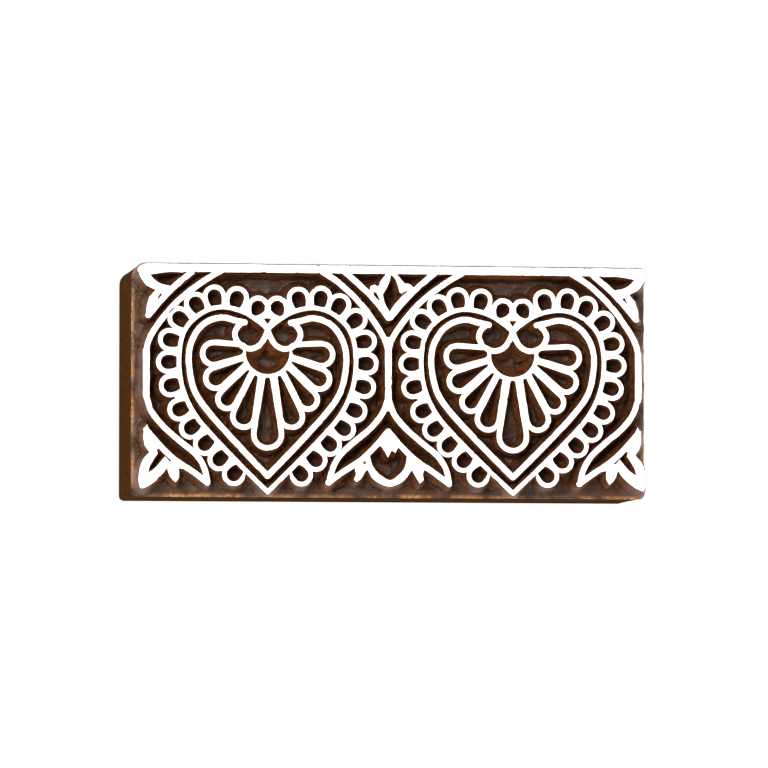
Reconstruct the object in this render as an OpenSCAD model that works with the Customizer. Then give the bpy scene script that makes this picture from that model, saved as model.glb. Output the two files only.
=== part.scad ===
// A hand-carved wooden printing block for a cloth border: two hearts under a rail.
// The block lies on its flat back, face up, and its long side runs along X.
// The face is drawn on a flat grid in millimetres, X to the right and Y towards the rail.

/* [Block] */
// Thickness from the flat back to the printing face
block_t = 32; // [20:0.5:45]
// Width from the front side to the rail side
block_w = 52.4; // [48:0.1:60]
// Radius of the upright corners
corner_r = 1.2; // [0.6:0.1:2.5]
// Radius of the worn corner at the left end of the rail
worn_corner_r = 3; // [1.5:0.1:4]
// Depth of the carved ground below the printing face
ground_d = 4.5; // [3.5:0.1:9]
// Depth of the cut inside the hearts, shallower than the ground
heart_d = 3.6; // [2.5:0.1:4.2]

/* [Layout] */
// Wood left of the middle of the left bar
left_margin = 2.9; // [2.6:0.1:6]
// Wood right of the middle of the right bar
right_margin = 2.2; // [2:0.1:6]
// Distance from the left bar to the centre bar
left_repeat = 54.7; // [52:0.1:60]
// Distance from the centre bar to the right bar, wider because it was set out by hand
right_repeat = 57.1; // [52:0.1:62]
// How far the left heart stands right of the middle of its repeat
left_heart_shift = 0; // [-0.5:0.1:0.5]
// How far the right heart stands right of the middle of its repeat
right_heart_shift = -0.2; // [-0.5:0.1:0.5]
// How much lower the fan of the right heart sits than that of the left heart
right_fan_drop = 0.2; // [0:0.1:0.4]
// How far the raised lines stand in from the sides of the block
face_inset = 0.3; // [0.1:0.05:0.6]

/* [Line widths] */
// Straight rail along the rear edge
rail_w = 1.9; // [1.4:0.1:3]
// Upright bars between the repeats
bar_w = 1.6; // [1:0.1:2.4]
// Arch and leaf lines
arch_w = 1.4; // [0.9:0.1:2]
// Outer line of the hearts
outer_w = 1.15; // [0.8:0.05:1.6]
// Inner line of the hearts
inner_w = 1.45; // [0.9:0.05:1.8]
// Curls at the cleft of the hearts
curl_w = 1.35; // [0.9:0.05:1.8]
// Rim of each scallop
scallop_w = 1.15; // [0.8:0.05:1.5]
// Petal lines of the fan
petal_w = 1.3; // [0.8:0.05:1.7]
// Half ring that the petals spring from
ring_w = 1.4; // [0.9:0.05:2]

/* [Drilled eyes] */
// Radius of the drill that opened each scallop
eye_r = 1.55; // [1:0.05:1.7]
// Half width of an eye where it meets the outer heart line
eye_foot_r = 1.35; // [0.8:0.05:1.4]
// Distance from the outer heart line to the middle of the drilled end
eye_out = 2.55; // [2.3:0.05:2.9]
// Depth to the foot of the drilled wall
eye_d = 3; // [1.5:0.1:3.4]
// Depth of the cone that the drill point left
eye_cone = 0.9; // [0.3:0.1:1.2]

/* [White coat] */
// Thickness of the dried white coat on the raised lines
coat_t = 0.15; // [0.1:0.05:0.4]

/* [Hidden] */

wood = "#4a2f1e";
white = "#fbfbf8";

// The face was drawn on a grid of this repeat and this height, and is stretched to fit the block
drawn_repeat = 54.7;
drawn_h = 51.8;

block_l = left_margin + left_repeat + right_repeat + right_margin;
face_h = block_w - 2 * face_inset;
bar_x = [left_margin - block_l / 2, left_margin + left_repeat - block_l / 2, block_l / 2 - right_margin];
wood_top = block_t - coat_t;

// Half of a heart, left of its axis: the outer line from the tip up to the crossing in the cleft
outer_pts = [[0, -25.2], [-6, -19.3], [-12, -13.1], [-16.5, -7.8], [-19.2, -1.9], [-20, 4.4],
    [-18.9, 10.6], [-15.4, 14.5], [-10.9, 16.2], [-6, 15.4], [-2.2, 13.2], [0, 11.3]];
// The curl that the left outer line turns into after the crossing
curl_pts = [[0, 11.3], [0.6, 9.6], [1.9, 7.7], [4, 6.9], [6.2, 7.8], [7.4, 9.8], [7, 11.5], [5.6, 12.9]];
// The inner line from its hook at the curl down to the inner tip
inner_pts = [[-5.2, 12.8], [-7.6, 13.3], [-10.3, 13.9], [-13.5, 13], [-16, 10.7], [-17.6, 7],
    [-17.7, 2.6], [-16.5, -2.6], [-13.6, -7], [-9, -12.2], [-4, -17.5], [0, -21.6]];
// Distance from the outer heart line to the middle of an eye's inner end
eye_foot = 1.3;
// Half width of the first eye at the heart line, where the cleft leaves less room
first_foot_r = 0.8;
// Where the carver drilled the eyes, from the cleft round to the tip
eye_pts = [[-2.05, 16.4], [-7, 18.1], [-12, 18.4], [-16.1, 16.7], [-19.5, 13.3], [-21.6, 8.7], [-22.2, 3.8],
    [-21.5, -1.4], [-19.1, -6.5], [-16.3, -10.2], [-13.5, -13.9], [-10.3, -17.4], [-7.2, -20.8]];

// Petals: middle of the round end, its radius, middle of the root and its radius
petals = [
    [[-12.2, 5.75], 1.85, [-6.4, 6.4], 0.85],
    [[-11.7, 0.25], 1.65, [-5.6, 3.9], 0.2],
    [[-9.1, -4.4], 1.5, [-4.4, 1.9], 0.25],
    [[-5.4, -8.2], 1.85, [-2.7, 0.5], 0.4],
    [[0, -12.2], 2.5, [0, -0.1], 0.55]];
ring_c = [0, 6.2];
ring_r = 4.9;

// Arch to the right of its bar: from the rail to the bar, then from the bar to the tip at the front
top_right_of_bar = [[16.9, 24.4], [13, 22.1], [7.5, 17.9], [3.4, 13.3], [0.8, 9.3], [0, 6.4]];
low_right_of_bar = [[0, -3.8], [1.2, -7.3], [3.8, -10.6], [7.7, -14], [11.3, -17], [13.2, -20.2], [13.8, -23.2]];
// Arch to the left of its bar, drawn as seen in a mirror: it swings wider
top_left_of_bar = [[15.1, 24.4], [11.3, 22], [6.4, 17.4], [3, 12.9], [0.8, 9.2], [0, 6.4]];
low_left_of_bar = [[0, -3.8], [1.3, -7.3], [4, -10.7], [7.7, -13.8], [10.9, -16.8], [12.7, -20], [13.4, -23]];
// Second line above the arch at the centre bar and at an end bar, and the leaf line below it
over_pts = [[10, 24.4], [7.1, 22], [3.8, 18.9], [1.3, 15.9], [0, 14.1]];
end_over_pts = [[10.4, 24.2], [7.4, 21.7], [4.2, 18.6], [1.6, 15.6], [0.4, 14.2]];
leaf_pts = [[0, -11.4], [2.6, -14.4], [5.4, -17.2], [7.8, -19], [10.3, -20.6], [13.6, -23]];

// One point of a smooth curve between p1 and p2
function bend(p0, p1, p2, p3, t) = 0.5 * (2 * p1 + (p2 - p0) * t
    + (2 * p0 - 5 * p1 + 4 * p2 - p3) * t * t + (3 * p1 - p0 - 3 * p2 + p3) * t * t * t);
// A smooth path through hand-placed points, with n steps between neighbours
function smooth(pts, n) = [for (i = [0 : len(pts) - 2]) for (j = [0 : n - 1])
    bend(pts[max(i - 1, 0)], pts[i], pts[i + 1], pts[min(i + 2, len(pts) - 1)], j / n), pts[len(pts) - 1]];
function mirrored(pts) = [for (p = pts) [-p[0], p[1]]];
function unit(v) = v / norm(v);
// Left-hand normal of a path at point i
function normal(path, i) = let (d = unit(path[min(i + 1, len(path) - 1)] - path[max(i - 1, 0)])) [-d[1], d[0]];
function shifted(path, by) = [for (i = [0 : len(path) - 1]) path[i] + by * normal(path, i)];
// Point of a path that lies nearest to p
function foot(p, a, b) = a + (b - a) * max(0, min(1, (p - a) * (b - a) / ((b - a) * (b - a))));
function nearest(path, p) = let (f = [for (i = [0 : len(path) - 2]) foot(p, path[i], path[i + 1])],
    d = [for (q = f) norm(p - q)]) f[search(min(d), d)[0]];
function reversed(path) = [for (i = [len(path) - 1 : -1 : 0]) path[i]];
function fit(pts, s) = [for (p = pts) [p[0] * s[0], p[1] * s[1]]];
function arc(c, r, a0, a1, n) = [for (i = [0 : n]) c + r * [cos(a0 + (a1 - a0) * i / n), sin(a0 + (a1 - a0) * i / n)]];
// Outline round two circles and their outer tangents
function round_bar(p0, r0, p1, r1, n) = let (d = p1 - p0, th = atan2(d[1], d[0]), a = asin((r0 - r1) / norm(d)))
    concat(arc(p1, r1, th - 90 + a, th + 90 - a, n), arc(p0, r0, th + 90 - a, th + 270 + a, n));

// A line of even width with round ends
module stroke(path, w) {
    polygon(concat(shifted(path, w / 2), reversed(shifted(path, -w / 2))));
    for (p = [path[0], path[len(path) - 1]]) translate(p) circle(d = w, $fn = 12);
}

module both_sides() {
    children();
    mirror([1, 0]) children();
}

// Closes hair cracks and drops slivers where lines run into each other
module trimmed() {
    offset(delta = 0.03) offset(delta = -0.06) offset(delta = 0.03) children();
}

module block_outline() {
    x = block_l / 2;
    y = block_w / 2;
    polygon(concat(
        arc([-x + corner_r, -y + corner_r], corner_r, 180, 270, 4),
        arc([x - corner_r, -y + corner_r], corner_r, 270, 360, 4),
        arc([x - corner_r, y - corner_r], corner_r, 0, 90, 4),
        arc([-x + worn_corner_r, y - worn_corner_r], worn_corner_r, 90, 180, 6)));
}

function outer_line(s) = smooth(fit(outer_pts, s), 3);
// Feet of the eyes on the outer line, and the middles of their drilled ends
function eye_feet(s) = [for (p = fit(eye_pts, s)) nearest(outer_line(s), p)];
function eye_ends(s) = let (feet = eye_feet(s), pts = fit(eye_pts, s))
    [for (i = [0 : 12]) feet[i] + unit(pts[i] - feet[i]) * eye_out];

// Outline of the scallops of one side, without their eyes
module scallop_body(s) {
    feet = eye_feet(s);
    ends = eye_ends(s);
    for (e = ends) translate(e) circle(r = eye_r + scallop_w, $fn = 20);
    for (i = [0 : 11]) polygon([feet[i], feet[i + 1], ends[i + 1], ends[i]]);
    polygon([feet[0], ends[0], [0, ends[0][1]], [0, 11 * s[1]]]);
}

module scallop_eyes(s) {
    feet = eye_feet(s);
    ends = eye_ends(s);
    for (i = [0 : 12])
        polygon(round_bar(feet[i] + eye_foot * unit(ends[i] - feet[i]), i == 0 ? first_foot_r : eye_foot_r,
            ends[i], eye_r, 6));
}

module petal_holes(s) {
    both_sides() for (p = petals) polygon(round_bar(fit([p[2]], s)[0], p[3], fit([p[0]], s)[0], p[1], 6));
}

module fan(s) {
    difference() {
        union() {
            both_sides() for (p = petals)
                polygon(round_bar(fit([p[2]], s)[0], p[3] + petal_w, fit([p[0]], s)[0], p[1] + petal_w, 7));
            intersection() {
                translate(ring_c) circle(r = ring_r + ring_w, $fn = 36);
                translate([-20, -20]) square([40, 27.6]);
            }
        }
        petal_holes(s);
        translate(ring_c) circle(r = ring_r, $fn = 36);
        translate([-3.6, 6.2]) square([7.2, 7]);
    }
}

module heart_lines(s) {
    both_sides() {
        stroke(outer_line(s), outer_w);
        stroke(smooth(fit(curl_pts, s), 3), curl_w);
        stroke(smooth(fit(inner_pts, s), 3), inner_w);
    }
}

module heart_lands(s, fan_drop) {
    trimmed() {
        heart_lines(s);
        translate([0, -fan_drop]) fan(s);
        difference() {
            both_sides() scallop_body(s);
            both_sides() scallop_eyes(s);
            polygon(fit([[-0.8, 13.7], [0.8, 13.7], [0, 12.5]], s));
        }
    }
}

// Leaf spray between the rail and the outer arch line at an end bar
module end_spray(s) {
    difference() {
        polygon(fit(concat([[-2, 26], [-2.1, 24.7]], smooth([[-1.5, 22.9], [-0.1, 21], [2, 19.9]], 3),
            smooth([[0.6, 18.3], [-0.1, 15.9], [0, 13.7]], 3), [[1.2, 15.6], [3.8, 18.9], [7.1, 22], [9.6, 26]]), s));
        polygon(fit([[0.9, 23.3], [2.1, 23.5], [4.9, 23.9], [9.3, 23.8], [7.2, 22.6], [5.4, 20.9], [3.3, 21.4],
            [1.9, 22.2]], s));
        polygon(fit([[3.1, 19.2], [3.8, 18.8], [2.2, 17.1]], s));
    }
}

// Leaf spray between the rail and the two outer arch lines at the centre bar
module centre_spray(s) {
    difference() {
        polygon(fit([[-10, 24.4], [-7.1, 22], [-3.8, 18.9], [-1.3, 15.9], [0, 14.1], [1.3, 15.9], [3.8, 18.9],
            [7.1, 22], [10, 24.4]], s));
        polygon(fit([[-9, 24.1], [-0.4, 24.2], [-1.3, 23.2], [-2, 22.2], [-2.2, 21.3], [-3.2, 21.7], [-4.1, 21.3],
            [-4.3, 20.3], [-7.1, 22.4]], s));
        polygon(fit([[-3.4, 19.9], [-2.7, 19.8], [-1.9, 18], [-3.2, 19]], s));
        polygon(fit([[0.7, 23.8], [0, 21.5], [-1.2, 19.4], [-0.8, 17.6], [0.3, 15.6], [1.3, 17.1], [3.4, 19.4],
            [4.4, 20.2], [3.7, 20.1], [3, 19.6], [2.5, 19.9], [2.1, 21.3], [1.4, 23]], s));
        polygon(fit([[1.8, 24.2], [2.7, 23.2], [3.7, 22], [4.5, 22], [5.3, 21.6], [5.9, 21], [9, 24.1]], s));
    }
}

// Leaves at an end bar below the arch
module end_leaves(s) {
    difference() {
        polygon(fit(concat(smooth([[0.2, -10.1], [-0.5, -11.4], [-0.7, -13], [-0.3, -15], [0.7, -16.4]], 3),
            smooth([[-0.7, -18], [-1.4, -19.6], [-1.7, -21.4], [-1.7, -23.2], [-1.3, -24.5], [-0.5, -24.5],
                [0.9, -23.8], [2.5, -22.6], [4, -21], [4.7, -19.9]], 2),
            [[5, -21.1], [5.5, -22.1], [6.3, -22.9], [6.7, -23.2], [7.4, -22.1], [7.5, -20.9], [7.4, -20],
                [8.2, -20.2], [8.8, -19.9], [5.3, -17.4], [2.5, -14.6]]), s));
        polygon(fit([[2.4, -15.8], [2.9, -15.6], [5.8, -18.4], [5.2, -18.4], [4.3, -17.3], [3.5, -18.2],
            [2.1, -19.8], [0.5, -21], [0.9, -19.6], [1.7, -18.2], [2.7, -16.7]], s));
    }
}

// Lotus below the centre bar: the filled peak, the cup and a bud at each side
module lotus(s) {
    polygon(fit([[0, -11.5], [-2.5, -14.6], [-1.6, -14.9], [-1, -15.8], [-0.1, -17.4], [0.8, -15.7], [1.6, -16.3],
        [2.1, -15.4], [2.5, -14.6]], s));
    difference() {
        polygon(fit(concat([[-4.2, -17], [-5.7, -17.6], [-7.4, -19.2], [-7.6, -20.2], [-7.4, -21], [-7.9, -22.2],
            [-7.3, -22.9], [-6.3, -22.3], [-5.1, -20.4]],
            smooth([[-4.7, -20.2], [-3.8, -21.8], [-2.2, -23.1], [0.3, -23.9], [2.7, -23.1], [4.3, -21.7],
                [5.3, -20.1]], 3),
            [[6.3, -21.8], [7.2, -23.2], [7.6, -22.8], [8.1, -22.3], [7.9, -21], [8.3, -19.8], [4.2, -17]]), s));
        polygon(fit(concat([[-4.2, -16.5]], smooth([[-3.9, -18], [-3.4, -19.3], [-2.1, -20.9], [0.3, -22.3],
            [2.1, -21.3], [3.5, -19.7], [4, -18]], 3), [[4.2, -16.5]]), s));
        translate(fit([[-5.4, -18.5]], s)[0]) circle(r = 0.3, $fn = 8);
    }
}

// The lines that spring from a bar to its right: arch, the line above it and the leaf line
module springers(top, low, over) {
    stroke(smooth(fit(top, [1, sy]), 3), arch_w);
    stroke(smooth(fit(low, [1, sy]), 3), arch_w);
    stroke(smooth(fit(over, [1, sy]), 3), arch_w);
    stroke(smooth(fit(leaf_pts, [1, sy]), 3), arch_w);
}

sy = face_h / drawn_h;
left_s = [left_repeat / drawn_repeat, sy];
right_s = [right_repeat / drawn_repeat, sy];
left_heart_x = bar_x[0] + left_repeat / 2 + left_heart_shift;
right_heart_x = bar_x[2] - right_repeat / 2 + right_heart_shift;

module frame_lands() {
    trimmed() intersection() {
        offset(delta = -face_inset) block_outline();
        union() {
            translate([bar_x[0] - 2.1, face_h / 2 - rail_w]) square([block_l, rail_w + 1]);
            for (x = bar_x) translate([x, 0]) stroke([[0, 6.4 * sy], [0, -3.8 * sy]], bar_w);
            translate([bar_x[1] - bar_w / 2, -6.9 * sy]) square([bar_w, 16.8 * sy]);
            translate([bar_x[0], 0]) {
                springers(top_right_of_bar, low_right_of_bar, end_over_pts);
                end_spray([1, sy]);
                end_leaves([1, sy]);
            }
            translate([bar_x[2], 0]) mirror([1, 0]) {
                springers(top_left_of_bar, low_left_of_bar, end_over_pts);
                end_spray([1, sy]);
                end_leaves([1, sy]);
            }
            translate([bar_x[1], 0]) {
                springers(top_right_of_bar, low_right_of_bar, end_over_pts);
                mirror([1, 0]) springers(top_left_of_bar, low_left_of_bar, over_pts);
                centre_spray([1, sy]);
                lotus([1, sy]);
            }
        }
    }
}

// Shallower floor inside a heart
module heart_floor(s) {
    offset(delta = 0.05) polygon(concat(outer_line(s), reversed(mirrored(outer_line(s)))));
}

// Floor of the drilled eyes
module eye_floor(s) {
    offset(delta = -scallop_w / 2) both_sides() scallop_body(s);
}

module heart_wood(s, fan_drop) {
    z = block_t - ground_d - 1;
    translate([0, 0, z]) {
        linear_extrude(wood_top - z) heart_lands(s, fan_drop);
        linear_extrude(block_t - heart_d - z) heart_floor(s);
        linear_extrude(block_t - eye_d - z) eye_floor(s);
    }
}

module block() {
    z = block_t - ground_d - 1;
    color(wood) union() {
        linear_extrude(block_t - ground_d) offset(delta = 0) block_outline();
        translate([0, 0, z]) linear_extrude(wood_top - z) frame_lands();
        translate([left_heart_x, 0, 0]) heart_wood(left_s, 0);
        translate([right_heart_x, 0, 0]) heart_wood(right_s, right_fan_drop);
    }
}

module frame_coat() {
    color(white) translate([0, 0, wood_top]) linear_extrude(coat_t) frame_lands();
}

module left_heart_coat() {
    color(white) translate([left_heart_x, 0, wood_top]) linear_extrude(coat_t) heart_lands(left_s, 0);
}

module right_heart_coat() {
    color(white) translate([right_heart_x, 0, wood_top]) linear_extrude(coat_t) heart_lands(right_s, right_fan_drop);
}

block();
frame_coat();
left_heart_coat();
right_heart_coat();
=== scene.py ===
"""The carved wooden printing block, laid on its back with its white printing lines up."""

import math
import random
from collections import namedtuple

import bmesh
import bpy
import numpy as np
from mathutils import Matrix, Vector, kdtree
from mathutils.geometry import delaunay_2d_cdt


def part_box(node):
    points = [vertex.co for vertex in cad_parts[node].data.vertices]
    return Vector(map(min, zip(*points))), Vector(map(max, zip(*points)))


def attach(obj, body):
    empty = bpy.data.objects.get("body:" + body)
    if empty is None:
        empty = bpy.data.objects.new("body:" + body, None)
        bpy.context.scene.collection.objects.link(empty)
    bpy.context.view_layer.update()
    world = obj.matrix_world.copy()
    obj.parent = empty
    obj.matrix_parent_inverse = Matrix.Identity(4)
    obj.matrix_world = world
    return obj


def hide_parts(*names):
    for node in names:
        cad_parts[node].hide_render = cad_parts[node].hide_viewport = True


bl_info = {
    "name": "Carved printing block",
    "version": (1, 0, 0),
    "blender": (4, 5, 0),
    "location": "3D View > Sidebar > Stamp",
    "description": "Builds a hand-carved wooden printing block over its packed solids",
    "category": "Add Mesh",
}

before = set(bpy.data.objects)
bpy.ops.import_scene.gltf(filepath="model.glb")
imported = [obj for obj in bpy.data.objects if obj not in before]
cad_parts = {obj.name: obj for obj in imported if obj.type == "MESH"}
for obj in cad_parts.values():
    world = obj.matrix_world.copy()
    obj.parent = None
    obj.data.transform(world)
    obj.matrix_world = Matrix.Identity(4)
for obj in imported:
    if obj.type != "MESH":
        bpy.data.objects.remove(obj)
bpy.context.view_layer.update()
MM = 0.001
COATS = ("frame_coat", "left_heart_coat", "right_heart_coat")
CARVING, SAWING, CHIPPING = 1, 3, 9  # added to the seed, so that each job has its own random draws


def rgb(text):
    """Linear colour of an sRGB hex value."""
    values = [int(text[i : i + 2], 16) / 255 for i in (1, 3, 5)]
    return [v / 12.92 if v <= 0.04045 else ((v + 0.055) / 1.055) ** 2.4 for v in values] + [1.0]


class StampSettings(bpy.types.PropertyGroup):
    """Sizes and colours that a user would change."""

    ground: bpy.props.FloatProperty(
        name="Ground depth", description="Depth of the carved ground below the lines",
        unit="LENGTH", precision=5, default=4.5 * MM, min=2 * MM, max=8 * MM)
    wall: bpy.props.FloatProperty(
        name="Wall slope", description="Width of the sloping cut beside a line",
        unit="LENGTH", precision=5, default=1.35 * MM, min=0.5 * MM, max=3 * MM)
    gouge: bpy.props.FloatProperty(
        name="Gouge marks", description="Depth of the gouge marks in the ground",
        unit="LENGTH", precision=5, default=0.42 * MM, min=0, max=1 * MM)
    spacing: bpy.props.FloatProperty(
        name="Mesh spacing", description="Distance between mesh points in the ground",
        unit="LENGTH", precision=5, default=0.36 * MM, min=0.2 * MM, max=1 * MM)
    chips: bpy.props.FloatProperty(
        name="Chips", description="Size of the largest chips along the edges of the white coat",
        unit="LENGTH", precision=5, default=0.16 * MM, min=0, max=0.4 * MM)
    seed: bpy.props.IntProperty(
        name="Seed", description="Seed of the hand-made unevenness", default=7)
    # Painted light: the cut walls beside the lines are coloured lighter and warmer than the ground, as if
    # lit.
    lit_wall_wood: bpy.props.FloatVectorProperty(
        name="Cut walls", description="Lighter colour of the wood beside the lines",
        subtype="COLOR", size=4, min=0, max=1, default=rgb("#6a3b18"))
    # Painted shade: the ground's colours are darker than the walls' to stand in for shade deep in the cuts.
    shaded_ground_wood: bpy.props.FloatVectorProperty(
        name="Ground", description="Lighter colour of the oiled wood in the ground",
        subtype="COLOR", size=4, min=0, max=1, default=rgb("#4a2d18"))
    sawn_wood: bpy.props.FloatVectorProperty(
        name="Sawn sides", description="Lighter colour of the sides and the back",
        subtype="COLOR", size=4, min=0, max=1, default=rgb("#4a3018"))
    # Partly worn wood and partly a painted highlight: the light orange along the rim stands in for light
    # caught on its edge too.
    worn_wood_and_highlight: bpy.props.FloatVectorProperty(
        name="Worn rim", description="Lighter colour of the wood that handling has bared",
        subtype="COLOR", size=4, min=0, max=1, default=rgb("#ad7a45"))
    coat: bpy.props.FloatVectorProperty(
        name="White coat", description="Colour of the coat on the lines",
        subtype="COLOR", size=4, min=0, max=1, default=rgb("#fdfdfb"))


# Outlines, in mm

SAME_PLACE = 1e-6  # metres between corners or heights that count as one
NO_LENGTH = 1e-9  # keeps a division by a length from failing
BEND_COSINE = 0.80  # a bend is rounded when the cosine of its turn is more than this
LENGTH_RATIO = 3  # a corner stays sharp when one edge is this many times as long as the other
SHORTEST_EDGE = 0.02  # shorter edges are left out
LINE_STEP = 0.42  # distance between points along the printing lines
RIM_STEP = 0.5  # distance between points along the block's rim
CHISEL_WOBBLE = 0.022  # how far a line's edge strays to each side
WAVE_POINTS = (26, 11)  # points in each wave of the wobble, the slow one first
WAVE_STRENGTHS = (0.4, 1)  # weakest and strongest wave, as shares of the wobble
DRIFT = 0.2  # sideways shift of a whole outline, as a share of the wobble
DRIFT_TURN = 6  # radians that the drift's sine is drawn from
WAVE_TURN = 6.28  # radians that the start of a wave is drawn from
INSIDE_BATCH = 400  # points tested against the outlines at a time
MERGE_DISTANCE = 1e-5  # points this near to each other become one
WHOLE_HULL = 0  # the triangulation's output type that keeps every triangle


def face_loops(node, top=True):
    """Outlines of a node's top or bottom faces, with the solid on the left as seen from above."""
    bm = bmesh.new()
    bm.from_mesh(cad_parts[node].data)
    bmesh.ops.remove_doubles(bm, verts=bm.verts, dist=SAME_PLACE)
    heights = [v.co.z for v in bm.verts]
    level = max(heights) if top else min(heights)
    flat = [f for f in bm.faces if all(abs(v.co.z - level) < SAME_PLACE for v in f.verts)]
    is_flat = set(flat)
    follows = {}
    for face in flat:
        for corner in face.loops:
            if sum(f in is_flat for f in corner.edge.link_faces) == 1:
                a, b = corner.vert, corner.link_loop_next.vert
                if not top:
                    a, b = b, a
                follows.setdefault(a, []).append(b)
    loops = []
    while follows:
        here = next(iter(follows))
        points = []
        while here in follows:
            points.append((here.co.x / MM, here.co.y / MM))
            choices = follows[here]
            there = choices.pop()
            if not choices:
                del follows[here]
            here = there
        if len(points) > 2:
            loops.append(np.array(points))
    bm.free()
    return loops


def curve_point(start, end, leave, arrive, t):
    """Point of the Hermite curve from start to end, with the ways in which it leaves and arrives."""
    a, b = t * t, t * t * t
    return (2 * b - 3 * a + 1) * start + (b - 2 * a + t) * leave + (3 * a - 2 * b) * end + (b - a) * arrive


def refined(loop, step):
    """The same outline with its gentle bends rounded and points every step."""
    ahead = np.roll(loop, -1, 0) - loop
    length = np.maximum(np.hypot(*ahead.T), NO_LENGTH)
    way = ahead / length[:, None]
    back = np.roll(way, 1, 0)
    before = np.roll(length, 1)
    even = (length < LENGTH_RATIO * before) & (before < LENGTH_RATIO * length)
    gentle = even & ((way * back).sum(1) > BEND_COSINE)
    tangent = way + back
    tangent /= np.maximum(np.hypot(*tangent.T), NO_LENGTH)[:, None]
    points = []
    for i in range(len(loop)):
        if length[i] < SHORTEST_EDGE:
            continue
        j = (i + 1) % len(loop)
        leave = (tangent[i] if gentle[i] else way[i]) * length[i]
        arrive = (tangent[j] if gentle[j] else way[i]) * length[i]
        parts = max(1, round(length[i] / step))
        points += [curve_point(loop[i], loop[j], leave, arrive, t) for t in np.arange(parts) * (1 / parts)]
    return np.array(points)


def loop_area(loop):
    """Area of an outline, negative for a hole."""
    x, y = loop.T
    return 0.5 * float((x * np.roll(y, -1) - y * np.roll(x, -1)).sum())


def outward(loop):
    """Way out of the solid, square to the outline, at each of its points."""
    along = np.roll(loop, -1, 0) - np.roll(loop, 1, 0)
    return np.c_[along[:, 1], -along[:, 0]] / np.maximum(np.hypot(*along.T), NO_LENGTH)[:, None]


def wobbled(loop, rng):
    """Moves the outline a little to each side, as a hand-held chisel does."""
    count = len(loop)
    shift = np.zeros(count)
    for wave_points in WAVE_POINTS:
        waves = max(1, count // wave_points)
        drift = math.sin(rng.uniform(0, DRIFT_TURN)) * DRIFT
        turn = np.arange(count) / count * 2 * math.pi * waves + rng.uniform(0, WAVE_TURN)
        shift += drift + np.sin(turn) * rng.uniform(*WAVE_STRENGTHS)
    return loop + outward(loop) * shift[:, None] * CHISEL_WOBBLE


def line_loops(seed):
    """Outlines of the raised printing lines, node by node."""
    rng = random.Random(seed)
    return {node: [wobbled(refined(loop, LINE_STEP), rng) for loop in face_loops(node)] for node in COATS}


def inside(points, loops):
    """True for each point that lies inside an odd number of the loops."""
    a = np.concatenate(loops)
    b = np.concatenate([np.roll(loop, -1, 0) for loop in loops])
    result = np.zeros(len(points), bool)
    for start in range(0, len(points), INSIDE_BATCH):
        batch = slice(start, start + INSIDE_BATCH)
        x, y = points[batch, 0, None], points[batch, 1, None]
        spans = (a[:, 1] > y) != (b[:, 1] > y)
        with np.errstate(divide="ignore", invalid="ignore"):
            cross = a[:, 0] + (y - a[:, 1]) * (b[:, 0] - a[:, 0]) / (b[:, 1] - a[:, 1])
        result[batch] = (spans & (x < cross)).sum(1) % 2 == 1
    return result


def ranges_of(loops):
    """First index and length of each loop, once all the loops are joined into one row of points."""
    ranges, first = [], 0
    for loop in loops:
        ranges.append((first, len(loop)))
        first += len(loop)
    return ranges


def triangulated(points, ranges):
    """Delaunay triangles over the points, with the loops in the ranges as fixed edges.

    Gives the points, the triangles and the new index of each old point.
    """
    edges = []
    for first, count in ranges:
        edges += [(first + i, first + (i + 1) % count) for i in range(count)]
    corners = [Vector(p) for p in points]
    verts, _, faces, origin, _, _ = delaunay_2d_cdt(corners, edges, [], WHOLE_HULL, MERGE_DISTANCE, True)
    new_index = {old: new for new, olds in enumerate(origin) for old in olds}
    return np.array([tuple(v) for v in verts]), [tuple(f) for f in faces], new_index


def nearest(points, samples):
    """Distance to the nearest sample and its index, for each point."""
    tree = kdtree.KDTree(len(samples))
    for i, (x, y) in enumerate(samples):
        tree.insert((x, y, 0), i)
    tree.balance()
    found = [tree.find((x, y, 0)) for x, y in points]
    return np.array([f[2] for f in found]), np.array([f[1] for f in found])


def smooth_step(t):
    """0 up to 0, 1 from 1, and a smooth rise between them."""
    t = np.clip(t, 0, 1)
    return t * t * (3 - 2 * t)


# Carving, in mm

# Each cut's depth and wall are shares of the ground's. The wall of a drilled eye is DRILL_WALL instead.
Cut = namedtuple("Cut", "depth wall drilled")
OPEN_GROUND = Cut(1.0, 1.0, 0)
NICK = Cut(0.35, 0.5, 0)
EYE = Cut(0.62, 0, 1)
HALF_MOON = Cut(0.98, 1.9, 0)
HEART_FLOOR = Cut(0.84, 0.9, 0)

NICK_AREA = 1.8  # mm2, more than a nick where lines meet
EYE_AREA = 9.8  # mm2, more than the eye of a scallop
MOON_AREA = (30, 62)  # mm2, around the half moon above a fan
MOON_PLACE = 2  # the half moon lies further up the face than this

ROW_RATIO = 0.87  # height of a row of ground points, as a share of their spacing
SCATTER = 0.22  # reach of the scatter of ground points, as a share of their spacing
LINE_CLEARANCE = 0.17  # ground points nearer to a line than this are left out

CHISEL_CUT = 2.1  # length of one straight cut beside a line
CUT_WIDTHS = (0.72, 1.28)  # narrowest and widest wall of one cut, as shares of the usual one
CUT_BLEND = (0.35, 0.3)  # where along a cut it turns into the next, and over how much of it
WALL_CURVE = 1.55  # more than 1 makes the wall steep at the line and gentle at the ground
DRILL_WALL = 0.4  # width of a drilled eye's steep wall
DRILL_DEPTH = 0.95  # how much further down the drill's point went
DRILL_CONE = (0.3, 1.05)  # where the drill's cone starts from the line, and its width

GOUGE_MARKS = 760  # over the whole face
GOUGE_REACH = 2.6  # from the middle of a mark to its end
GOUGE_TILT = 0.09  # steepest slope of a mark to each side
GOUGE_STRENGTHS = (0.5, 1.1)  # shallowest and deepest mark, as shares of the set depth
GROUND_LIFT = 0.2  # the whole ground is raised by this, and the marks are cut down from there
MARK_FADE = (0.45, 0.55)  # where on the wall the marks begin to show, and over how much of it

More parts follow.
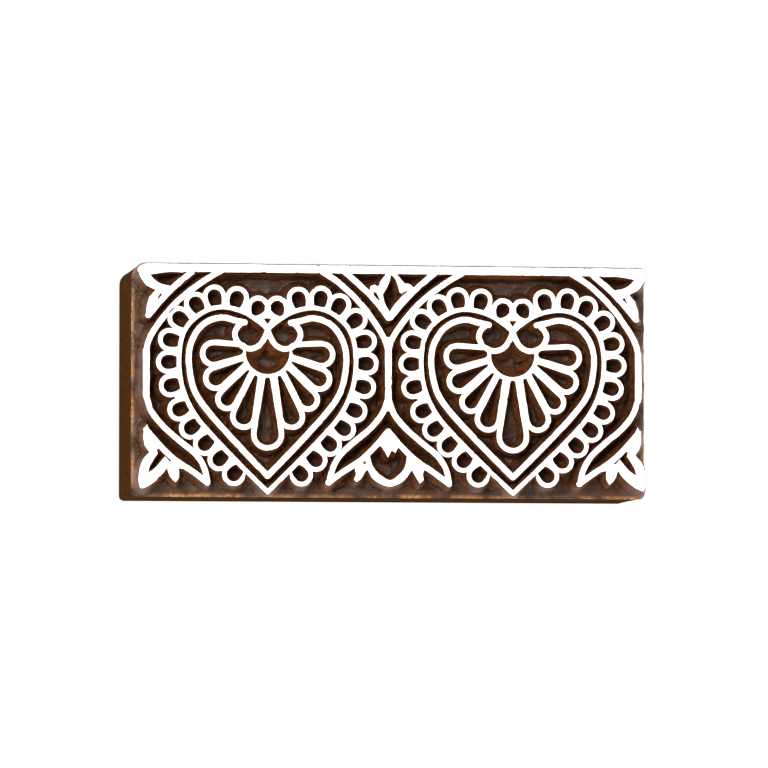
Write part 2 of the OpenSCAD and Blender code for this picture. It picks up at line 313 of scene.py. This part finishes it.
RIM_WIDTH = 1.3  # how far in from the rim the wood is worn and coloured light, partly as a painted highlight
RIM_WEAR = 0.34  # how deep it is worn at the rim itself
RIM_UNEVEN = 0.16  # how much each wave adds to that or takes from it
WEAR_WAVES = (1.9, 0.63, 1.4)  # radians per mm, the first two along the block and the last across it
WEAR_START = 1  # radians into the first wave at the middle of the block
RIM_SAMPLE_STEP = 0.2  # distance between the rim's points that the wear is measured from
ON_LINE = 1e-3  # points this near to an outline are level with the line
LEAST_CUT = 0.02  # all other points are at least this much lower

SAW_DROPS = (0.35, 1.1, 3.4, 7, 11, 15, 19, 23)  # rows of the sawn side, below the rim
RIM_ROW_INSET = 0.02  # inset of the first row
SAW_INSETS = (0.03, 0.05)  # least inset of the rows below it, and how much more it may be
SAW_DEPTH = 0.045  # how far in the saw marks lie on average
SAW_WAVES = ((0.025, 0.13, 1), (0.02, 0.41, 1.7))  # size in mm, radians per point and per mm of drop
LOWEST_SAWN = 2.0  # no sawn row lies lower than this
FOOT_ROWS = ((0.7, 0.06), (0.2, 0.16), (0.0, 0.45))  # height and inset of the rows at the eased foot
RIM_ROW_WEAR_AND_HIGHLIGHT = 0.75  # how much of the worn rim's colour, partly a painted highlight, the first row below the rim gets
SMOOTH_ANGLE = 38  # degrees; sharper edges stay crisp


def kind_of(node, loop):
    """The cut that starts at an outline, from the size of the hole."""
    hole = -loop_area(loop)
    if node == "frame_coat" or hole < 0:
        return OPEN_GROUND
    if hole < NICK_AREA:
        return NICK
    if hole < EYE_AREA:
        return EYE
    if MOON_AREA[0] < hole < MOON_AREA[1] and loop[:, 1].mean() > MOON_PLACE:
        return HALF_MOON
    return HEART_FLOOR


def ground_points(spacing, seed, lines, outline):
    """Scattered points over the cut wood, clear of the lines."""
    rng = np.random.default_rng(seed)
    left, front = outline.min(0)
    right, back = outline.max(0)
    columns = np.arange(left + spacing, right - spacing / 2, spacing)
    rows = np.arange(front + spacing, back - spacing / 2, spacing * ROW_RATIO)
    x, y = np.meshgrid(columns, rows)
    x[1::2] += spacing / 2
    points = np.c_[x.ravel(), y.ravel()] + rng.uniform(-SCATTER, SCATTER, (x.size, 2)) * spacing
    points = points[inside(points, [outline])]
    points = points[~inside(points, lines)]
    distance, _ = nearest(points, np.concatenate(lines))
    return points[distance > LINE_CLEARANCE]


def cut_samples(loops, rng):
    """Points along every outline, and the depth, wall and tool of the cut that starts at each."""
    samples, depth, wall, drilled = [], [], [], []
    for node, loop in loops:
        kind = kind_of(node, loop)
        ahead = np.roll(loop, -1, 0)
        run = np.r_[0, np.cumsum(np.hypot(*(ahead - loop).T))]
        cuts = max(3, int(run[-1] / CHISEL_CUT))
        width = rng.uniform(*CUT_WIDTHS, cuts + 1)
        width[-1] = width[0]
        for t in (0.0, 0.5):
            where = (run[:-1] + (run[1:] - run[:-1]) * t) / run[-1] * cuts
            cut = np.minimum(where.astype(int), cuts - 1)
            blend = smooth_step((where - cut - CUT_BLEND[0]) / CUT_BLEND[1])
            samples.append(loop + (ahead - loop) * t)
            depth.append(np.full(len(loop), kind.depth))
            wall.append(kind.wall * (width[cut] * (1 - blend) + width[cut + 1] * blend))
            drilled.append(np.full(len(loop), kind.drilled))
    return [np.concatenate(part) for part in (samples, depth, wall, drilled)]


def gouge_marks(points, outline, depth, rng):
    """Depth of the shallow round gouge marks at each point, less the lift of the ground."""
    middles = rng.uniform(outline.min(0), outline.max(0), (GOUGE_MARKS, 2))
    distance, mark = nearest(points, middles)
    tilt = rng.uniform(-GOUGE_TILT, GOUGE_TILT, (GOUGE_MARKS, 2))
    strength = rng.uniform(*GOUGE_STRENGTHS, GOUGE_MARKS)
    bowl = (1 - np.minimum(distance / GOUGE_REACH, 1) ** 2) * strength[mark]
    return bowl * depth - GROUND_LIFT + ((points - middles[mark]) * tilt[mark]).sum(1)


def rim_wear(points, outline):
    """Nearness to the rim, from 0 to 1, and how deep handling has worn the wood there."""
    distance, _ = nearest(points, refined(outline, RIM_SAMPLE_STEP))
    rim = np.clip(1 - distance / RIM_WIDTH, 0, 1)
    x, y = points.T
    quick, slow, across = WEAR_WAVES
    uneven = np.sin(x * quick + WEAR_START) * np.sin(x * slow) + np.sin(y * across)
    return rim, rim ** 2 * (RIM_WEAR + RIM_UNEVEN * uneven)


def carved_depth(settings, points, loops, outline):
    """Depth of the wood below the lines at each point, and the masks that the wood's colour uses."""
    rng = np.random.default_rng(settings.seed + CARVING)
    samples, depth_share, wall_share, drilled = cut_samples(loops, rng)
    distance, near = nearest(points, samples)
    drilled = drilled[near]
    wall = np.where(drilled, DRILL_WALL, wall_share[near] * settings.wall / MM)
    slope = np.clip(distance / wall, 0, 1)
    depth = settings.ground / MM * depth_share[near] * (1 - (1 - slope) ** WALL_CURVE)
    depth += drilled * DRILL_DEPTH * np.clip((distance - DRILL_CONE[0]) / DRILL_CONE[1], 0, 1)
    marks = gouge_marks(points, outline, settings.gouge / MM, rng)
    marks *= smooth_step((slope - MARK_FADE[0]) / MARK_FADE[1])
    depth += np.where(drilled, 0, marks)
    rim, wear = rim_wear(points, outline)
    depth += wear
    on_line = distance < ON_LINE
    depth = np.where(on_line, 0, np.maximum(depth, LEAST_CUT))
    # The wall mask, 1 at a line's edge and 0 down in the ground, colours the wood lighter up the cut walls as
    # painted light and darker in the ground as painted shade. The rim mask gives the rim its worn colour,
    # which is partly a painted highlight.
    return depth, {"rim": rim * ~on_line, "wall": 1 - slope}


def side_rows(outline, tops, seed):
    """Rings of points down the sawn sides, from the rim to the flat back."""
    rng = random.Random(seed + SAWING)
    out = outward(outline)
    rows = []
    for drop in SAW_DROPS:
        inset = RIM_ROW_INSET if drop == SAW_DROPS[0] else SAW_INSETS[0] + SAW_INSETS[1] * rng.random()
        row = []
        for i, top in enumerate(tops):
            wave = sum(size * math.sin(i * turn + drop * fall) for size, turn, fall in SAW_WAVES)
            x, y = outline[i] - out[i] * (inset + SAW_DEPTH + wave)
            row.append((x, y, max(top - drop, LOWEST_SAWN)))
        rows.append(row)
    for height, inset in FOOT_ROWS:
        rows.append([(x, y, height) for x, y in outline - out * inset])
    return rows


def new_object(name, verts, faces):
    """A mesh object on the part's one body, with its points given in mm."""
    mesh = bpy.data.meshes.new(name)
    mesh.from_pydata([(x * MM, y * MM, z * MM) for x, y, z in verts], [], faces)
    mesh.update()
    obj = bpy.data.objects.new(name, mesh)
    bpy.context.scene.collection.objects.link(obj)
    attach(obj, "root")
    return obj


# Materials

# Widths in mm. Real pores are a fifth as wide as this grain or less, too fine to show in the picture.
GRAIN_WIDTH = 1.111
GRAIN_SCALE = (0.06, 1, 1)  # the grain runs along the block
PATCH_WIDTH = 5.882
SPECKLE_WIDTH = 0.6667
BRUSH_WIDTH = 1.4286
BRUSH_SCALE = (0.15, 1, 1)  # the coat was brushed on along the block


def add_node(tree, kind, inputs, **settings):
    """Adds a shader node with its properties, and a value or a link for each input named."""
    node = tree.nodes.new(kind)
    for key, value in settings.items():
        setattr(node, key, value)
    for key, value in inputs.items():
        if isinstance(value, bpy.types.NodeSocket):
            tree.links.new(value, node.inputs[key])
        else:
            node.inputs[key].default_value = value
    return node


def new_material(name):
    """A material with an empty node tree, and the tree."""
    material = bpy.data.materials.new(name)
    material.use_nodes = True
    material.node_tree.nodes.clear()
    return material, material.node_tree


def per_metre(width):
    """Noise scale that makes features of a width in mm."""
    return 1 / (width * MM)


def oiled_wood(s):
    """Dense brown heartwood, rubbed with printing oil and worn at its rim.

    The gouged ground is coloured darker, as painted shade deep in the cuts, and the steep cuts beside the
    lines lighter and warmer, as painted light. The sawn sides are dull and even, and the light wood in spots
    along the rim is partly wood that handling has bared and partly a painted highlight on the rim's edge.
    """
    material, tree = new_material("oiled heartwood")
    place = add_node(tree, "ShaderNodeTexCoord", {}).outputs["Object"]
    along = add_node(tree, "ShaderNodeMapping", {"Vector": place, "Scale": GRAIN_SCALE}).outputs[0]
    grain = add_node(tree, "ShaderNodeTexNoise", {
        "Vector": along, "Scale": per_metre(GRAIN_WIDTH), "Detail": 6, "Roughness": 0.65, "Distortion": 0.4,
    }).outputs[0]
    patches = add_node(tree, "ShaderNodeTexNoise", {
        "Vector": place, "Scale": per_metre(PATCH_WIDTH), "Detail": 3}).outputs[0]
    speckle = add_node(tree, "ShaderNodeTexNoise", {
        "Vector": place, "Scale": per_metre(SPECKLE_WIDTH), "Detail": 2}).outputs[0]
    rim, wall, side = (
        add_node(tree, "ShaderNodeAttribute", {}, attribute_name=name).outputs["Fac"]
        for name in ("rim", "wall", "side"))

    woods = {}
    for name, pattern, low, high, dark, light in (
        ("ground", grain, 0.36, 0.68, "#27160a", s.shaded_ground_wood),
        # Painted light: the walls' colours are lighter and warmer than the ground's, standing in for lit
        # walls above shaded ground.
        ("wall", grain, 0.38, 0.66, "#2f1809", s.lit_wall_wood),
        ("sawn", grain, 0.30, 0.70, "#2b1a0b", s.sawn_wood),
        # Worn wood and painted highlight: light orange along the rim, partly bared wood and partly light
        # caught on the rim's edge.
        ("worn", speckle, 0.35, 0.70, "#6b421f", s.worn_wood_and_highlight),
    ):
        share = add_node(tree, "ShaderNodeMapRange", {"Value": pattern, "From Min": low, "From Max": high})
        mix = {0: share.outputs[0], 6: rgb(dark), 7: light}
        woods[name] = add_node(tree, "ShaderNodeMix", mix, data_type="RGBA").outputs[2]

    shares = {}
    for name, mask, low, high in (
        ("red", patches, 0.50, 0.72),
        # Painted light and shade: lighter wood up the walls beside the lines, darker wood down in the ground.
        ("wall", wall, 0.15, 0.60),
        # The rim share, times the spots, places the worn wood with its painted highlight.
        ("rim", rim, 0.30, 0.75),
        ("spots", patches, 0.40, 0.60),
    ):
        share = add_node(tree, "ShaderNodeMapRange", {"Value": mask, "From Min": low, "From Max": high})
        shares[name] = share.outputs[0]
    worn = add_node(tree, "ShaderNodeMath", {0: shares["rim"], 1: shares["spots"]}, operation="MULTIPLY")

    # Each layer covers the ones before it by its share.
    colour = woods["ground"]
    for share, layer in (
        (shares["red"], rgb("#4f2a12")),
        # Painted light on the walls, and painted shade in the ground below them.
        (shares["wall"], woods["wall"]),
        (side, woods["sawn"]),
        # Worn wood with a painted highlight along the rim.
        (worn.outputs[0], woods["worn"]),
    ):
        colour = add_node(tree, "ShaderNodeMix", {0: share, 6: colour, 7: layer}, data_type="RGBA").outputs[2]

    # Oil leaves a patchy sheen on the cuts and none on the sawn sides.
    rough = add_node(tree, "ShaderNodeMapRange", {"Value": speckle, "From Min": -0.9, "From Max": 1.9})
    gloss = add_node(tree, "ShaderNodeMapRange", {
        "Value": side, "From Min": 0, "From Max": 0.6, "To Min": 0.3, "To Max": 0})
    bump = add_node(tree, "ShaderNodeBump", {"Strength": 0.35, "Distance": 0.12 * MM, "Height": grain})
    shader = add_node(tree, "ShaderNodeBsdfPrincipled", {
        "Base Color": colour, "Roughness": rough.outputs[0], "Specular IOR Level": gloss.outputs[0],
        "Normal": bump.outputs[0]})
    add_node(tree, "ShaderNodeOutputMaterial", {"Surface": shader.outputs[0]})
    return material


def white_coat(s):
    """White clay ground, brushed on before the block was drawn and cut.

    It dries flat and chalky, with faint brush streaks along the block.
    """
    material, tree = new_material("white ground coat")
    place = add_node(tree, "ShaderNodeTexCoord", {}).outputs["Object"]
    brushed = add_node(tree, "ShaderNodeMapping", {"Vector": place, "Scale": BRUSH_SCALE}).outputs[0]
    streaks = add_node(tree, "ShaderNodeTexNoise", {
        "Vector": brushed, "Scale": per_metre(BRUSH_WIDTH), "Detail": 3}).outputs[0]
    share = add_node(tree, "ShaderNodeMapRange", {"Value": streaks, "From Min": 0.3, "From Max": 0.8})
    mix = {0: share.outputs[0], 6: s.coat, 7: rgb("#f3f2f1")}
    colour = add_node(tree, "ShaderNodeMix", mix, data_type="RGBA")
    bump = add_node(tree, "ShaderNodeBump", {"Strength": 0.2, "Distance": 0.05 * MM, "Height": streaks})
    shader = add_node(tree, "ShaderNodeBsdfPrincipled", {
        "Base Color": colour.outputs[2], "Roughness": 0.62, "Normal": bump.outputs[0]})
    add_node(tree, "ShaderNodeOutputMaterial", {"Surface": shader.outputs[0]})
    return material


def white_floor():
    """Matt board that the camera sees as plain white, while it lights the block as a real one does."""
    material, tree = new_material("white floor")
    board = add_node(tree, "ShaderNodeBsdfPrincipled", {"Base Color": rgb("#e6e4e2"), "Roughness": 0.9})
    plain = add_node(tree, "ShaderNodeEmission", {"Color": rgb("#ffffff"), "Strength": 1})
    seen = add_node(tree, "ShaderNodeLightPath", {}).outputs["Is Camera Ray"]
    mix = add_node(tree, "ShaderNodeMixShader", {0: seen, 1: board.outputs[0], 2: plain.outputs[0]})
    add_node(tree, "ShaderNodeOutputMaterial", {"Surface": mix.outputs[0]})
    return material


# Operators

# The bright coat looks wider in the picture than it is, so it is drawn in from the edges of the lines.
FILM_INSET = 0.07  # mm from the edge of a line to the edge of its white coat
FILM_UNEVEN = 0.04  # mm that the coat may stay further back at any point
CHIP_SPACING = 60  # points of an outline for each chip
CHIP_LENGTHS = (1, 2, 3)  # points along a chip
CHIP_SIZES = (0.3, 1)  # smallest and largest chip, as shares of the set size

LAMPS = (
    # name, place in m, size in m, power in W
    ("key", (-0.55, 0.35, 1.0), 0.5, 15.0),
    ("front", (-0.15, -1.0, 0.75), 0.7, 9.0),
    ("right", (0.9, 0.1, 0.8), 0.6, 6.0),
)
TARGET = Vector((-1.85, -0.75, 32.0)) * MM  # point that the camera and the lamps look at
CAMERA_WAY = Vector((-0.147, -0.059, 1.0))  # from the target to the camera
CAMERA_DISTANCE = 1.4
CAMERA_REACH = 10.0
FLOOR_SIZE = 6
SENSOR_WIDTH = 36.0  # mm
PICTURE_WIDTH = 768  # pixels
PIXELS_PER_METRE = 4450.0  # at the printing lines


class STAMP_OT_block(bpy.types.Operator):
    """Carve the wooden block"""

    bl_idname = "stamp.block"
    bl_label = "Carved block"

    def execute(self, context):
        s = context.scene.stamp
        loops = [(node, loop) for node, group in line_loops(s.seed).items() for loop in group]
        lines = [loop for _, loop in loops]
        outline = refined(max(face_loops("block", top=False), key=len), RIM_STEP)
        grid = ground_points(s.spacing / MM, s.seed, lines, outline)
        points, faces, new_index = triangulated(
            np.concatenate([outline, *lines, grid]), ranges_of([outline, *lines]))
        depth, masks = carved_depth(s, points, loops, outline)
        line_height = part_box("frame_coat")[0].z / MM
        verts = [(x, y, line_height - d) for (x, y), d in zip(points, depth)]
        self.add_sides(verts, faces, [new_index[i] for i in range(len(outline))], outline, s.seed)
        obj = new_object("carved_block", verts, faces)
        self.add_masks(obj.data, masks, len(points), len(verts), len(outline))
        obj.data.materials.append(oiled_wood(s))
        bpy.ops.object.select_all(action="DESELECT")
        obj.select_set(True)
        context.view_layer.objects.active = obj
        bpy.ops.object.shade_smooth_by_angle(angle=math.radians(SMOOTH_ANGLE))
        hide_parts("block")
        return {"FINISHED"}

    def add_sides(self, verts, faces, rim, outline, seed):
        """Adds the sawn sides below the rim and the flat back, as points and faces."""
        last = rim
        for row in side_rows(outline, [verts[i][2] for i in rim], seed):
            here = list(range(len(verts), len(verts) + len(row)))
            verts += row
            for i in range(len(row)):
                j = (i + 1) % len(row)
                faces.append((last[i], here[i], here[j], last[j]))
            last = here
        faces.append(tuple(reversed(last)))

    def add_masks(self, mesh, masks, carved, total, row):
        """Stores the masks on the points, of which the first ones are carved and the rest are sawn."""
        sawn = np.zeros(total - carved)
        masks = {name: np.r_[values, sawn] for name, values in masks.items()}
        # The first sawn row also gets the rim's light colour, partly worn wood and partly a painted
        # highlight.
        masks["rim"][carved : carved + row] = RIM_ROW_WEAR_AND_HIGHLIGHT
        masks["side"] = np.r_[np.zeros(carved), sawn + 1]
        for name, values in masks.items():
            layer = mesh.attributes.new(name, "FLOAT", "POINT")
            layer.data.foreach_set("value", values.astype(np.float32))


class STAMP_OT_coats(bpy.types.Operator):
    """Lay the white coat on the raised lines"""

    bl_idname = "stamp.coats"
    bl_label = "White coats"

    def execute(self, context):
        s = context.scene.stamp
        white = white_coat(s)
        low, high = (corner.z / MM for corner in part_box("frame_coat")[:2])
        rng = random.Random(s.seed + CHIPPING)
        for node, lines in line_loops(s.seed).items():
            loops = [self.film_edge(loop, rng, s.chips / MM) for loop in lines]
            verts, faces = self.film(loops, low, high)
            obj = new_object(node.replace("coat", "paint"), verts, faces)
            obj.data.materials.append(white)
            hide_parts(node)
        return {"FINISHED"}

    def film_edge(self, loop, rng, size):
        """The outline drawn in to the film's edge, and further where chips broke off with the shavings."""
        inset = np.array([FILM_INSET + FILM_UNEVEN * rng.random() for _ in loop])
        for _ in range(len(loop) // CHIP_SPACING):
            start = rng.randrange(len(loop))
            for k in range(rng.choice(CHIP_LENGTHS)):
                inset[(start + k) % len(loop)] += size * rng.uniform(*CHIP_SIZES)
        return loop - outward(loop) * inset[:, None]

    def film(self, loops, low, high):
        """Points and faces of a flat closed film within the loops."""
        ranges = ranges_of(loops)
        points, faces, new_index = triangulated(np.concatenate(loops), ranges)
        middles = np.array([points[list(f)].mean(0) for f in faces])
        tops = [f for f, ok in zip(faces, inside(middles, loops)) if ok]
        count = len(points)
        verts = [(x, y, height) for height in (high, low) for x, y in points]
        skins = tops + [tuple(i + count for i in reversed(f)) for f in tops]
        for start, length in ranges:
            for i in range(length):
                a, b = new_index[start + i], new_index[start + (i + 1) % length]
                if a != b:
                    skins.append((a, a + count, b + count, b))
        return verts, skins


class STAMP_OT_stage(bpy.types.Operator):
    """Set the floor, the lights and the camera"""

    bl_idname = "stamp.stage"
    bl_label = "Stage"

    def execute(self, context):
        scene = context.scene
        bpy.ops.mesh.primitive_plane_add(size=FLOOR_SIZE, location=(0, 0, 0))
        floor = context.active_object
        floor.name = "floor"
        floor.data.materials.append(white_floor())
        for name, place, size, power in LAMPS:
            data = bpy.data.lights.new(name, "AREA")
            data.size = size
            data.energy = power
            lamp = bpy.data.objects.new(name, data)
            scene.collection.objects.link(lamp)
            lamp.location = place
            lamp.rotation_euler = (TARGET - lamp.location).to_track_quat("-Z", "Y").to_euler()
        self.set_camera(scene)
        self.set_world(scene)
        return {"FINISHED"}

    def set_camera(self, scene):
        """The camera stands above the block, a little to its left and front, with the block's edges level."""
        eye = TARGET + CAMERA_WAY * CAMERA_DISTANCE
        ahead = (TARGET - eye).normalized()
        right = ahead.cross(Vector((0, 1, 0))).normalized()
        up = right.cross(ahead)
        data = bpy.data.cameras.new("camera")
        data.sensor_width = SENSOR_WIDTH
        data.lens = SENSOR_WIDTH * PIXELS_PER_METRE * (TARGET - eye).length / PICTURE_WIDTH
        data.clip_end = CAMERA_REACH
        camera = bpy.data.objects.new("camera", data)
        camera.matrix_world = Matrix.Translation(eye) @ Matrix((right, up, -ahead)).transposed().to_4x4()
        scene.collection.objects.link(camera)
        scene.camera = camera
        scene.view_settings.view_transform = "Standard"

    def set_world(self, scene):
        """Soft, slightly warm light from all round."""
        world = scene.world or bpy.data.worlds.new("world")
        scene.world = world
        world.use_nodes = True
        tree = world.node_tree
        tree.nodes.clear()
        soft = add_node(tree, "ShaderNodeBackground", {"Color": rgb("#fff8ef"), "Strength": 0.55})
        add_node(tree, "ShaderNodeOutputWorld", {"Surface": soft.outputs[0]})


class STAMP_PT_panel(bpy.types.Panel):
    """Lists the settings and the pieces"""

    bl_idname = "STAMP_PT_panel"
    bl_label = "Stamp"
    bl_space_type = "VIEW_3D"
    bl_region_type = "UI"
    bl_category = "Stamp"

    def draw(self, context):
        column = self.layout.column()
        for name in StampSettings.__annotations__:
            column.prop(context.scene.stamp, name)
        for kind in OPERATORS:
            column.operator(kind.bl_idname)


OPERATORS = (STAMP_OT_block, STAMP_OT_coats, STAMP_OT_stage)
CLASSES = (StampSettings, *OPERATORS, STAMP_PT_panel)


def register():
    for kind in CLASSES:
        bpy.utils.register_class(kind)
    bpy.types.Scene.stamp = bpy.props.PointerProperty(type=StampSettings)


def unregister():
    del bpy.types.Scene.stamp
    for kind in reversed(CLASSES):
        bpy.utils.unregister_class(kind)


def plain(bounds):
    """Bounds as plain lists of numbers."""
    return [[float(v) for v in corner] for corner in bounds]


def main():
    register()
    bpy.ops.stamp.block()
    bpy.ops.stamp.coats()
    bpy.ops.stamp.stage()


if __name__ == "__main__":
    main()
